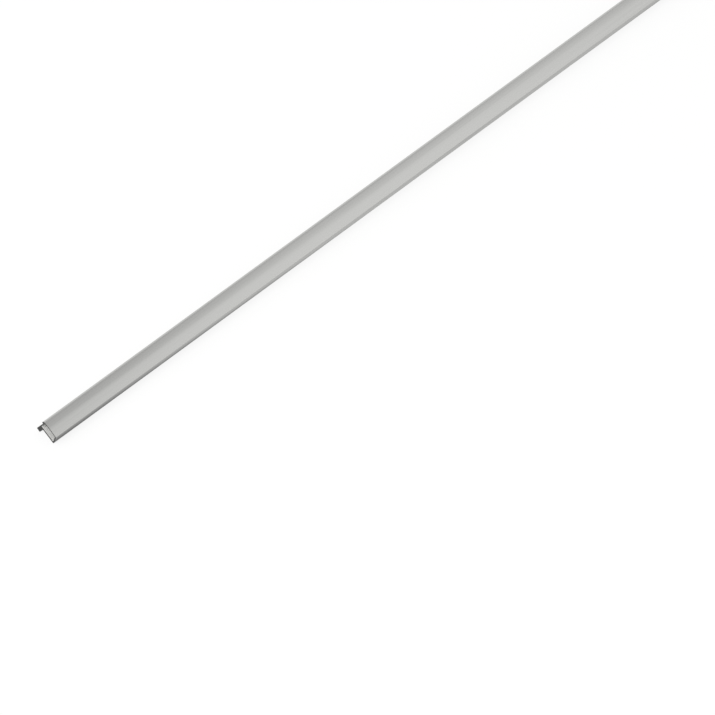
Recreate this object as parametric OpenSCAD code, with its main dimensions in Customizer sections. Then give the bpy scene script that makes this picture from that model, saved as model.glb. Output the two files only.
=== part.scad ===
// Hollow edge profile, extruded in aluminium and sawn square to length.
// The section has a crowned front face, a chamber behind all of it and a bevelled toe along one edge.
// Along the other edge a round lip stands out past the chamber's side, and a solid leg hangs from
// the chamber's back. The bar lies face up on its toe and its leg tip.
// Section points are [x, y]: x across the face from the toe, and y below zero behind the face.

/* [Bar] */
// Length of the sawn bar
length = 1000; // [100:10:3000]

/* [Front face] */
// Width of the front face, from the toe to the lip
face_width = 20; // [18:0.5:26]
// Distance from the toe at which the flat of the face turns into the crown
crown_start = 10; // [6:0.5:12]
// Radius of the crown towards the lip
crown_radius = 36; // [30:1:80]
// Radius of the nose between the crown and the lip's edge
nose_radius = 2.6; // [1:0.1:3]

/* [Chamber] */
// Thickness of the front wall and of the walls at the toe and at the leg's side
wall = 1; // [0.8:0.1:2]
// Thickness of the back wall
back_wall = 1.8; // [1:0.1:3]
// Depth of the body behind the face, at the leg
body_depth = 12.4; // [11:0.1:15]
// Depth of the body behind the face, at the toe
toe_depth = 11.6; // [10:0.1:14]
// Width of the bevel that the toe takes off the face
toe_bevel = 3; // [1.5:0.1:4]
// Radius of the chamber's inside corners
chamber_radius = 0.5; // [0.1:0.05:1]

/* [Leg] */
// Depth of the leg tip behind the face
leg_depth = 20.6; // [18:0.1:30]
// Thickness of the leg
leg_thickness = 4.2; // [2:0.1:5]
// Width by which the lip stands out past the leg
lip_width = 1.4; // [0.9:0.1:2]
// Height of the lip's edge, from its underside to the face
lip_height = 3.5; // [3:0.1:5]
// Radius of the fillet between the leg and the body
root_radius = 0.8; // [0.2:0.1:2]

/* [Edges] */
// Radius of the toe's back edge and of the leg tip's edges
edge_radius = 0.7; // [0.2:0.05:0.8]
// Radius of the edge between the face and the toe bevel
bevel_edge_radius = 0.3; // [0.2:0.1:0.7]
// Radius of the lip's underside, at its edge and at the leg
lip_radius = 0.3; // [0.1:0.05:0.4]

/* [Hidden] */
$fn = 96;

// Amount by which an arc stands proud at its tangent points, so that it joins the flats there
blend = 0.0002;
// Depth by which the cap under an arc reaches behind the arc's chord
lap = 0.05;
// Straight run between the end of a crown and the round edge that follows it
crown_run = 0.5;

function unit(v) = v / norm(v);
function cross2(a, b) = a[0] * b[1] - a[1] * b[0];

// Line from a to b as [point, direction], moved to its left by a distance, and where two meet
function line(a, b, shift = 0) = let (d = unit(b - a)) [a + shift * [-d[1], d[0]], d];
function meet(l, m) = l[0] + l[1] * cross2(m[0] - l[0], m[1]) / cross2(l[1], m[1]);

// Corner i of an outline p with the edge radii r: its neighbours, its arc and the arc's ends
function ahead(p, i) = unit(p[(i + 1) % len(p)] - p[i]);
function behind(p, i) = unit(p[(i + len(p) - 1) % len(p)] - p[i]);
function convex(p, i) = cross2(ahead(p, i), behind(p, i)) > 0;
function half_angle(p, i) = acos(ahead(p, i) * behind(p, i)) / 2;
function setback(p, r, i) = r[i] / tan(half_angle(p, i));
function arc_ends(p, r, i) = [for (d = [behind(p, i), ahead(p, i)]) p[i] + d * setback(p, r, i)];
function arc_centre(p, r, i) =
    p[i] + unit(ahead(p, i) + behind(p, i)) * r[i] / sin(half_angle(p, i));

// Point of a crown of radius r about the crown's centre, and the line of its tangent there
crown_centre = [crown_start, -crown_radius];
function crown_turn(x, r) = asin((x - crown_start) / r);
function crown_point(x, r) = [x, crown_centre[1] + r * cos(crown_turn(x, r))];
function crown_tangent(x, r) = [crown_point(x, r), [cos(crown_turn(x, r)), -sin(crown_turn(x, r))]];

// Outer outline, anticlockwise from the toe's back edge, with the chord of the crown
leg_outside = face_width - lip_width;
leg_inside = leg_outside - leg_thickness;
crown_end = face_width - nose_radius - crown_run;
lip_top = meet(crown_tangent(crown_end, crown_radius), [[face_width, 0], [0, 1]]);
lip_under = lip_top[1] - lip_height;
outer_points = [
    [0, -toe_depth],
    [leg_inside, -body_depth],
    [leg_inside, -leg_depth],
    [leg_outside, -leg_depth],
    [leg_outside, lip_under],
    [face_width, lip_under],
    lip_top,
    crown_point(crown_end, crown_radius),
    [crown_start, 0],
    [toe_bevel, 0],
];
outer_radii = [
    edge_radius,
    root_radius,
    edge_radius,
    edge_radius,
    lip_radius,
    lip_radius,
    nose_radius,
    0,
    0,
    bevel_edge_radius,
];
toe_back = 0;
leg_root = 1;
tip_inside = 2;
bevel_edge = 9;

// Chamber outline, inside the walls and above the leg
chamber_side = leg_outside - wall;
inner_radius = crown_radius - wall;
inner_end = chamber_side - chamber_radius - crown_run;
back_line = line(outer_points[toe_back], outer_points[leg_root], back_wall);
toe_line = line(outer_points[bevel_edge], outer_points[toe_back], wall);
side_line = [[chamber_side, 0], [0, 1]];
chamber_points = [
    meet(toe_line, back_line),
    meet(back_line, side_line),
    meet(crown_tangent(inner_end, inner_radius), side_line),
    crown_point(inner_end, inner_radius),
    [crown_start, -wall],
    meet(line([crown_start, -wall], [0, -wall]), toe_line),
];
chamber_radii = [chamber_radius, chamber_radius, chamber_radius, 0, 0, chamber_radius];

// The bar rests on the round edges of the toe and of the leg tip's inside
rest_run = arc_centre(outer_points, outer_radii, tip_inside)
    - arc_centre(outer_points, outer_radii, toe_back);
rest_tilt = atan2(-rest_run[1], rest_run[0]);

// Reach of the section to each side once it is turned by the rest tilt
edges = [for (i = [0 : len(outer_points) - 1]) if (convex(outer_points, i)) i];
function turned_x(c) = c[0] * cos(rest_tilt) - c[1] * sin(rest_tilt);
function turned_y(c) = c[0] * sin(rest_tilt) + c[1] * cos(rest_tilt);
edge_centres = [for (i = edges) arc_centre(outer_points, outer_radii, i)];
edge_radii = [for (i = edges) outer_radii[i]];
edge_ids = [0 : len(edges) - 1];
reach_front = min([for (k = edge_ids) turned_x(edge_centres[k]) - edge_radii[k]]);
reach_back = max([for (k = edge_ids) turned_x(edge_centres[k]) + edge_radii[k]]);
reach_down = min([for (k = edge_ids) turned_y(edge_centres[k]) - edge_radii[k]]);

// Cap between the arc and the chord of corner i of an outline
module edge_cap(p, r, i) {
    centre = arc_centre(p, r, i);
    out = p[i] - centre;
    chord = r[i] * sin(half_angle(p, i)) - lap;
    translate(centre)
        rotate(atan2(out[1], out[0]))
            intersection() {
                circle(r[i] + blend);
                translate([chord, -2 * r[i]]) square([2 * r[i], 4 * r[i]]);
            }
}

// Outline with a true arc of its own radius at every corner, inside or outside
module rounded(p, r) {
    ids = [0 : len(p) - 1];
    difference() {
        union() {
            polygon([for (i = ids) each r[i] > 0 ? arc_ends(p, r, i) : [p[i]]]);
            for (i = ids)
                if (r[i] > 0 && convex(p, i)) edge_cap(p, r, i);
        }
        for (i = ids)
            if (r[i] > 0 && !convex(p, i)) edge_cap(p, r, i);
    }
}

// Slice under the arc of a crown of radius r, from a little before its start to a little past
// its end at x, where it runs into the flats
module crown(x, r) {
    past = crown_run / 2;
    top = crown_centre[1] + r + wall;
    low = crown_point(x + past, r)[1] - past;
    intersection() {
        translate(crown_centre) circle(r + blend);
        translate([crown_start - past, low]) square([x - crown_start + 2 * past, top - low]);
    }
}

module section() {
    difference() {
        union() {
            rounded(outer_points, outer_radii);
            crown(crown_end, crown_radius);
        }
        union() {
            rounded(chamber_points, chamber_radii);
            crown(inner_end, inner_radius);
        }
    }
}

module profile() {
    color([0.76, 0.76, 0.75])
        rotate([90, 0, 90])
            linear_extrude(length, center = true)
                translate([-(reach_front + reach_back) / 2, -reach_down])
                    rotate(rest_tilt)
                        section();
}

profile();
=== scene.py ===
"""Dresses the aluminium edge profile: the sawn bar, its floor, its light and the photograph's view."""

from math import acos, asin, atan2, cos, pi, radians, sin, tan

import bpy
from mathutils import Matrix, Vector


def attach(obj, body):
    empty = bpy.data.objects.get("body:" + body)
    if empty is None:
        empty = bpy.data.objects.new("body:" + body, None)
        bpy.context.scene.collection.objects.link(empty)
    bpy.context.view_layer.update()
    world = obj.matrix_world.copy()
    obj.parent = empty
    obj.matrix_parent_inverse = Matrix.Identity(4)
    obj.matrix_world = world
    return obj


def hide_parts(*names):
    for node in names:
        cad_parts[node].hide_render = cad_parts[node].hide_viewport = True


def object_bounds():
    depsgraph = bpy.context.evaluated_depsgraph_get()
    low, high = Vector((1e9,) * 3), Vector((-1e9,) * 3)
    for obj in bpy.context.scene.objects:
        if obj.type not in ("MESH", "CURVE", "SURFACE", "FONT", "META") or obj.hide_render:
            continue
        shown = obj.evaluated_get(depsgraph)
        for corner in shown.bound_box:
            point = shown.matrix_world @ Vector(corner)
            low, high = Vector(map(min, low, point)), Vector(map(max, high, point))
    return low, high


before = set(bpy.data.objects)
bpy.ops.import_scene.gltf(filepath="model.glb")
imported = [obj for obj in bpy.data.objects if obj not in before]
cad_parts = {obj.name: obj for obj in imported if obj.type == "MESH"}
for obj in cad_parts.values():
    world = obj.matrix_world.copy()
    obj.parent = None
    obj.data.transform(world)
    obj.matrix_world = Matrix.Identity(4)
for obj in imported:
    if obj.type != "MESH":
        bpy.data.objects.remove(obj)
cad_low, cad_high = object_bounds()

# The bar
# One length of aluminium, pushed through a die as a hollow section with a rear leg, then etched and
# silver anodised, and last sawn square to length, so that its two ends are bare metal.

MM = 0.001
bar_length = cad_high.x - cad_low.x
face_width = 20 * MM
crown_start = 10 * MM
crown_radius = 36 * MM
nose_radius = 2.6 * MM
wall = 1 * MM
back_wall = 1.8 * MM
body_depth = 12.4 * MM
toe_depth = 11.6 * MM
toe_bevel = 3 * MM
chamber_radius = 0.5 * MM
leg_depth = 20.6 * MM
leg_thickness = 4.2 * MM
lip_width = 1.4 * MM
lip_height = 3.5 * MM
root_radius = 0.8 * MM
edge_radius = 0.7 * MM
bevel_edge_radius = 0.3 * MM
lip_radius = 0.3 * MM
crown_run = 0.5 * MM
saw_edge = 0.12 * MM
merge_distance = 0.0005 * MM
smooth_angle = radians(25)
leg_outside = face_width - lip_width
leg_inside = leg_outside - leg_thickness


def unit_to(a, b):
    """Direction from one section point to another."""
    return (b - a).normalized()


def meet(a, along_a, b, along_b):
    """Point where two lines of the section meet."""
    gap = b - a
    return a + along_a * (gap.cross(along_b) / along_a.cross(along_b))


def crown_corner(across, radius, depth):
    """Point where the flat of a face and the tangent at its crown's end meet, and that tangent."""
    turn = asin((across - crown_start) / radius)
    return Vector((crown_start + radius * tan(turn / 2), -depth)), Vector((cos(turn), -sin(turn)))


def arc(corners, i):
    """Centre, first point, signed turn and radius of the round edge at corner i."""
    point, radius = corners[i]
    to_last = unit_to(point, corners[i - 1][0])
    to_next = unit_to(point, corners[(i + 1) % len(corners)][0])
    half = acos(to_last.dot(to_next)) / 2
    centre = point + (to_last + to_next).normalized() * (radius / sin(half))
    start = point + to_last * (radius / tan(half))
    side = 1 if to_next.cross(to_last) > 0 else -1
    return centre, start, side * (pi - 2 * half), radius


right = Vector((1, 0))
down = Vector((0, -1))
outer_corner, outer_tangent = crown_corner(face_width - nose_radius - crown_run, crown_radius, 0)
toe = Vector((0, -toe_depth))
root = Vector((leg_inside, -body_depth))
bevel = Vector((toe_bevel, 0))
lip_top = meet(outer_corner, outer_tangent, Vector((face_width, 0)), down)
lip_under = lip_top.y - lip_height
outer = [
    (toe, edge_radius),
    (root, root_radius),
    (Vector((leg_inside, -leg_depth)), edge_radius),
    (Vector((leg_outside, -leg_depth)), edge_radius),
    (Vector((leg_outside, lip_under)), lip_radius),
    (Vector((face_width, lip_under)), lip_radius),
    (lip_top, nose_radius),
    (outer_corner, crown_radius),
    (bevel, bevel_edge_radius),
]
chamber_side = leg_outside - wall
inner_end = chamber_side - chamber_radius - crown_run
inner_corner, inner_tangent = crown_corner(inner_end, crown_radius - wall, wall)
back_way = unit_to(toe, root)
toe_way = unit_to(bevel, toe)
back_inside = toe + back_wall * Vector((-back_way.y, back_way.x))
toe_inside = bevel + wall * Vector((-toe_way.y, toe_way.x))
chamber = [
    (meet(toe_inside, toe_way, back_inside, back_way), chamber_radius),
    (meet(back_inside, back_way, Vector((chamber_side, 0)), down), chamber_radius),
    (meet(inner_corner, inner_tangent, Vector((chamber_side, 0)), down), chamber_radius),
    (inner_corner, crown_radius - wall),
    (meet(inner_corner, right, toe_inside, toe_way), chamber_radius),
]
toe_centre = arc(outer, 0)[0]
tip_centre = arc(outer, 2)[0]
rest_tilt = atan2(toe_centre.y - tip_centre.y, tip_centre.x - toe_centre.x)


def draw_outline(corners):
    """Draws one closed outline of the section at the bar's near end, as straight runs and spun arcs."""
    # An arc of 1 mm radius takes so many steps per radian, and a larger one takes more.
    least_steps = 6
    steps_per_radian = 12
    near_end = saw_edge - bar_length / 2
    pen = arc(corners, 0)[1]
    bpy.ops.mesh.primitive_plane_add(size=MM, location=(near_end, pen.x, pen.y))
    bpy.ops.mesh.merge(type="CENTER")
    for i in range(len(corners)):
        centre, start, turn, radius = arc(corners, i)
        if i > 0:
            step = start - pen
            bpy.ops.mesh.extrude_vertices_move(TRANSFORM_OT_translate={"value": (0, step.x, step.y)})
        steps = max(least_steps, round(abs(turn) * (radius / MM) ** 0.5 * steps_per_radian))
        bpy.ops.mesh.spin(
            steps=steps, angle=-turn, center=(near_end, centre.x, centre.y), axis=(1, 0, 0)
        )
        pen = centre + Matrix.Rotation(turn, 2) @ (start - centre)
    step = arc(corners, 0)[1] - pen
    bpy.ops.mesh.extrude_vertices_move(TRANSFORM_OT_translate={"value": (0, step.x, step.y)})


bpy.ops.object.select_all(action="DESELECT")
bpy.ops.mesh.primitive_plane_add(size=MM)
bar = bpy.context.object
bar.name = "profile_bar"
bpy.ops.object.mode_set(mode="EDIT")
bpy.ops.mesh.delete(type="VERT")
draw_outline(outer)
draw_outline(chamber)
bpy.ops.mesh.select_all(action="SELECT")
bpy.ops.mesh.remove_doubles(threshold=merge_distance)
bpy.ops.mesh.fill(use_beauty=True)
bpy.ops.mesh.select_all(action="SELECT")
bpy.ops.mesh.extrude_region_move(TRANSFORM_OT_translate={"value": (bar_length - 2 * saw_edge, 0, 0)})
bpy.ops.mesh.select_all(action="SELECT")
bpy.ops.mesh.normals_make_consistent(inside=False)
bpy.ops.mesh.select_mode(type="FACE")
bpy.ops.object.mode_set(mode="OBJECT")
end_facing = 0.3
for polygon in bar.data.polygons:
    polygon.select = abs(polygon.normal.x) > end_facing
bpy.ops.object.mode_set(mode="EDIT")
bpy.ops.mesh.inset(thickness=saw_edge, depth=saw_edge)
bpy.ops.object.mode_set(mode="OBJECT")


def linear(code):
    """Linear colour of an sRGB hex code."""
    parts = [int(code[k : k + 2], 16) / 255 for k in (0, 2, 4)]
    return [c / 12.92 if c <= 0.04045 else ((c + 0.055) / 1.055) ** 2.4 for c in parts] + [1]


def add_node(tree, kind, links=(), **settings):
    """Adds a node, sets its properties and sockets, and links its inputs."""
    node = tree.nodes.new(kind)
    for key, value in settings.items():
        if hasattr(node, key):
            setattr(node, key, value)
        else:
            node.inputs[key.replace("_", " ")].default_value = value
    for source, target in links:
        tree.links.new(source, node.inputs[target])
    return node


def new_material(name):
    """New material, with its node tree and its shader."""
    material = bpy.data.materials.new(name)
    material.use_nodes = True
    return material, material.node_tree, material.node_tree.nodes["Principled BSDF"]


def drawn_finish(name, run, spacing, depth, tones, roughness):
    """Anodised metal with lines along the bar: their run, spacing, depth, tones and roughness."""
    material, tree, shader = new_material(name)
    shader.inputs["Metallic"].default_value = 1
    place = add_node(tree, "ShaderNodeTexCoord")
    space = add_node(
        tree, "ShaderNodeMapping", [(place.outputs["Object"], "Vector")],
        Scale=(1 / run, 1 / spacing, 1 / spacing),
    )
    lines = add_node(
        tree, "ShaderNodeTexNoise", [(space.outputs["Vector"], "Vector")],
        Scale=1, Detail=2, Roughness=0.6,
    )
    faint = 0.3
    strong = 0.7
    tone = add_node(tree, "ShaderNodeValToRGB", [(lines.outputs["Fac"], "Fac")])
    for stop, position, code in zip(tone.color_ramp.elements, (faint, strong), tones):
        stop.position = position
        stop.color = linear(code)
    sheen = add_node(
        tree, "ShaderNodeMapRange", [(lines.outputs["Fac"], "Value")],
        From_Min=faint, From_Max=strong, To_Min=roughness[0], To_Max=roughness[1],
    )
    relief = add_node(tree, "ShaderNodeBump", [(lines.outputs["Fac"], "Height")], Distance=depth)
    tree.links.new(tone.outputs["Color"], shader.inputs["Base Color"])
    tree.links.new(sheen.outputs["Result"], shader.inputs["Roughness"])
    tree.links.new(relief.outputs["Normal"], shader.inputs["Normal"])
    return material


# Satin anodising: an even pale grey with a soft sheen, and faint die lines along the bar.
# Die lines are usually about 0.2 mm apart. They are drawn at 1.2 mm so that they show.
satin = drawn_finish(
    "satin_anodised_aluminium", run=250 * MM, spacing=1.2 * MM, depth=0.01 * MM,
    tones=("BDBDBB", "C2C2C0"), roughness=(0.23, 0.27),
)

# Toe face: the same anodising over the coarse drag lines of the die, so it is duller, and its darker
# grey is painted shade.
# Drag lines are usually about 0.3 mm apart. They are drawn at 0.9 mm so that they show. Towards both
# sawn ends the toe is darker still, most of all low down, in streaks along the drag lines: painted
# shade.
# The painted shade's slope is the reach along the bar that it loses for each unit of height.
end_shade_run = 350 * MM
end_shade_streak = 200 * MM
end_shade_slope = 30
end_shade_value = 0.2
# The toe's darker tones are painted shade.
shaded_toe = drawn_finish(
    "toe_anodised_aluminium_painted_shade", run=150 * MM, spacing=0.9 * MM, depth=0.03 * MM,
    tones=("AAAAA8", "B6B6B4"), roughness=(0.4, 0.5),
)
tree = shaded_toe.node_tree
base_colour = tree.nodes["Principled BSDF"].inputs["Base Color"]
toe_tone = base_colour.links[0].from_socket
lines = tree.nodes["Noise Texture"]
place = tree.nodes["Texture Coordinate"]
split = add_node(tree, "ShaderNodeSeparateXYZ", [(place.outputs["Object"], "Vector")])
from_middle = add_node(tree, "ShaderNodeMath", [(split.outputs["X"], 0)], operation="ABSOLUTE")
low_down = add_node(
    tree, "ShaderNodeMath", [(split.outputs["Z"], 0), (from_middle.outputs["Value"], 2)],
    operation="MULTIPLY_ADD",
)
low_down.inputs[1].default_value = -end_shade_slope
streaked = add_node(
    tree, "ShaderNodeMath", [(lines.outputs["Fac"], 0), (low_down.outputs["Value"], 2)],
    operation="MULTIPLY_ADD",
)
streaked.inputs[1].default_value = end_shade_streak
# Painted shade: the toe darkens towards both ends and towards its lower edge, in streaks.
end_shade = add_node(
    tree, "ShaderNodeMapRange", [(streaked.outputs["Value"], "Value")],
    From_Min=bar_length / 2 - end_shade_run, From_Max=bar_length / 2, To_Min=1, To_Max=end_shade_value,
)
end_shaded = add_node(
    tree, "ShaderNodeHueSaturation", [(end_shade.outputs["Result"], "Value"), (toe_tone, "Color")]
)
tree.links.new(end_shaded.outputs["Color"], base_colour)

# Bare sawn metal with fine curved marks of the saw blade. Its dull grey, darker than the anodising, is
# painted shade.
# Saw marks are usually about 0.3 mm apart. They are drawn at 0.6 mm so that they show. A wave texture
# of scale 1 repeats every 2 pi / 20.
saw_spacing = 0.6 * MM
saw_depth = 0.03 * MM
blade_shift = (0, 120 * MM, 60 * MM)
wave_repeat = 2 * pi / 20
sawn, tree, shader = new_material("sawn_aluminium_painted_shade")
shader.inputs["Metallic"].default_value = 1
shader.inputs["Roughness"].default_value = 0.5
place = add_node(tree, "ShaderNodeTexCoord")
saw_space = add_node(
    tree, "ShaderNodeMapping", [(place.outputs["Object"], "Vector")], Location=blade_shift
)
saw_marks = add_node(
    tree, "ShaderNodeTexWave", [(saw_space.outputs["Vector"], "Vector")],
    wave_type="RINGS", rings_direction="X", Scale=wave_repeat / saw_spacing, Distortion=1.5, Detail=2,
)
tone = add_node(tree, "ShaderNodeValToRGB", [(saw_marks.outputs["Fac"], "Fac")])
# The dark grey of the sawn ends is painted shade.
tone.color_ramp.elements[0].color = linear("393938")
tone.color_ramp.elements[1].color = linear("464645")
relief = add_node(tree, "ShaderNodeBump", [(saw_marks.outputs["Fac"], "Height")], Distance=saw_depth)
tree.links.new(tone.outputs["Color"], shader.inputs["Base Color"])
tree.links.new(relief.outputs["Normal"], shader.inputs["Normal"])

# Etched chamber wall: the same metal under a thick matt oxide that scatters light, so it is pale and
# has no metallic gloss. Its faint clouds are 3 mm across.
cloud_size = 3 * MM
cloud_depth = 0.05 * MM
etched, tree, shader = new_material("matt_etched_aluminium")
shader.inputs["Roughness"].default_value = 0.85
place = add_node(tree, "ShaderNodeTexCoord")
clouds = add_node(
    tree, "ShaderNodeTexNoise", [(place.outputs["Object"], "Vector")], Scale=1 / cloud_size, Detail=3
)
tone = add_node(tree, "ShaderNodeValToRGB", [(clouds.outputs["Fac"], "Fac")])
tone.color_ramp.elements[0].color = linear("CDCDCB")
tone.color_ramp.elements[1].color = linear("D5D5D3")
relief = add_node(tree, "ShaderNodeBump", [(clouds.outputs["Fac"], "Height")], Distance=cloud_depth)
tree.links.new(tone.outputs["Color"], shader.inputs["Base Color"])
tree.links.new(relief.outputs["Normal"], shader.inputs["Normal"])

# Each face takes the finish of its place on the section.
finishes = [satin, sawn, etched, shaded_toe]
for finish in finishes:
    bar.data.materials.append(finish)
toe_facing = -0.7
chamber_middle = Vector((0, (toe_bevel + leg_inside) / 2, -body_depth / 2))
for polygon in bar.data.polygons:
    centre = polygon.center
    normal = polygon.normal
    out = centre - chamber_middle
    in_body = centre.z > -body_depth and centre.y < (chamber_side + leg_outside) / 2
    if abs(normal.x) > end_facing:
        polygon.material_index = finishes.index(sawn)
    elif in_body and out.y * normal.y + out.z * normal.z < 0:
        polygon.material_index = finishes.index(etched)
    elif in_body and normal.y < toe_facing:
        polygon.material_index = finishes.index(shaded_toe)

bar.rotation_euler.x = rest_tilt
bpy.ops.object.transform_apply(location=False, rotation=True, scale=False)
ys = [v.co.y for v in bar.data.vertices]
zs = [v.co.z for v in bar.data.vertices]
bar.location = (0, -(min(ys) + max(ys)) / 2, -min(zs))
section_shift = bar.location.copy()
bpy.ops.object.transform_apply(location=True, rotation=False, scale=False)
bpy.ops.object.shade_smooth_by_angle(angle=smooth_angle)

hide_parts("profile")
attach(bar, "root")

# The floor
# A wide sheet of white paper that the bar lies on. It stays in the studio. Part of its white is a
# glow that only the camera and mirrored rays see, so that the sheet fades into a white background.

floor_size = 16
glow_share = 0.84
bpy.ops.object.select_all(action="DESELECT")
bpy.ops.mesh.primitive_plane_add(size=floor_size)
floor = bpy.context.object
floor.name = "studio_floor"
paper, tree, shader = new_material("white_paper")
shader.inputs["Base Color"].default_value = linear("F4F4F3")
shader.inputs["Roughness"].default_value = 0.9
shader.inputs["Specular IOR Level"].default_value = 0
ray = add_node(tree, "ShaderNodeLightPath")
seen_or_mirrored = add_node(
    tree, "ShaderNodeMath", [(ray.outputs["Is Camera Ray"], 0), (ray.outputs["Is Glossy Ray"], 1)],
    operation="MAXIMUM",
)
in_view = add_node(
    tree, "ShaderNodeMath",
    [(seen_or_mirrored.outputs["Value"], 0), (ray.outputs["Is Transmission Ray"], 1)],
    operation="MAXIMUM",
)
share = add_node(tree, "ShaderNodeMath", [(in_view.outputs["Value"], 0)], operation="MULTIPLY")
share.inputs[1].default_value = glow_share
glow = add_node(tree, "ShaderNodeEmission", Color=linear("FFFFFF"), Strength=1)
lit = add_node(
    tree, "ShaderNodeMixShader",
    [(share.outputs["Value"], 0), (shader.outputs["BSDF"], 1), (glow.outputs["Emission"], 2)],
)
tree.links.new(lit.outputs["Shader"], tree.nodes["Material Output"].inputs["Surface"])
floor.data.materials.append(paper)

# The light
# A white room that is dimmer overhead, and two softboxes. The key lights the paper and the chamber from
# the near end, and is hidden from mirrored rays. The weak one is mirrored by the face's middle.

# The room's strengths hold below and above two heights of the unit direction towards it.
low_sky = 0.75
high_sky = 0.86
low_strength = 1.0
high_strength = 0.64
world = bpy.data.worlds.new("studio_room")
bpy.context.scene.world = world
world.use_nodes = True
tree = world.node_tree
sky = tree.nodes["Background"]
sky.inputs["Color"].default_value = linear("FFFFFF")
way = add_node(tree, "ShaderNodeTexCoord")
split = add_node(tree, "ShaderNodeSeparateXYZ", [(way.outputs["Generated"], "Vector")])
overhead = add_node(
    tree, "ShaderNodeMapRange", [(split.outputs["Z"], "Value")],
    From_Min=low_sky, From_Max=high_sky, To_Min=low_strength, To_Max=high_strength,
)
tree.links.new(overhead.outputs["Result"], sky.inputs["Strength"])


def softbox(name, place, target, width, height, power):
    """Rectangular lamp at a place in metres, turned towards a target."""
    lamp = bpy.data.lights.new(name, "AREA")
    lamp.shape = "RECTANGLE"
    lamp.size = width
    lamp.size_y = height
    lamp.energy = power
    holder = bpy.data.objects.new(name, lamp)
    bpy.context.collection.objects.link(holder)
    holder.location = place
    holder.rotation_euler = (Vector(place) - Vector(target)).to_track_quat("Z", "Y").to_euler()
    return holder


key = softbox(
    "key_softbox", place=(-2.4, 0.1, 2.4), target=(-0.3, 0, 0), width=1.6, height=1.6, power=45
)
key.visible_glossy = False
softbox(
    "face_softbox", place=(0.74, -0.7, 1.5), target=(0.74, -0.7, 0), width=0.75, height=1.1, power=0.54
)

# The camera
# The photograph's view: a long lens, turned so that the bar rises to the right, with the middle of
# the front face's near edge at the pixel where the photograph has it.

camera_azimuth = radians(-43.67)
camera_elevation = radians(51)
camera_distance = 6.0
image_size = 715
near_scale = 0.832 * MM
near_x = 50.96
near_y = 430.79
back = Vector((
    sin(camera_azimuth) * cos(camera_elevation),
    -cos(camera_azimuth) * cos(camera_elevation),
    sin(camera_elevation),
))
side = Vector((cos(camera_azimuth), sin(camera_azimuth), 0))
up = back.cross(side)
near_middle = Vector((-bar_length / 2, face_width / 2, 0))
near_face = Matrix.Rotation(rest_tilt, 3, "X") @ near_middle + section_shift
to_centre = side * (image_size / 2 - near_x) + up * (near_y - image_size / 2)
lens = bpy.data.cameras.new("photo_camera")
lens.lens = lens.sensor_width * camera_distance / (image_size * near_scale)
camera = bpy.data.objects.new("photo_camera", lens)
bpy.context.collection.objects.link(camera)
camera.location = near_face + to_centre * near_scale + back * camera_distance
camera.rotation_euler = back.to_track_quat("Z", "Y").to_euler()
bpy.context.scene.camera = camera
bpy.context.scene.view_settings.view_transform = "Standard"
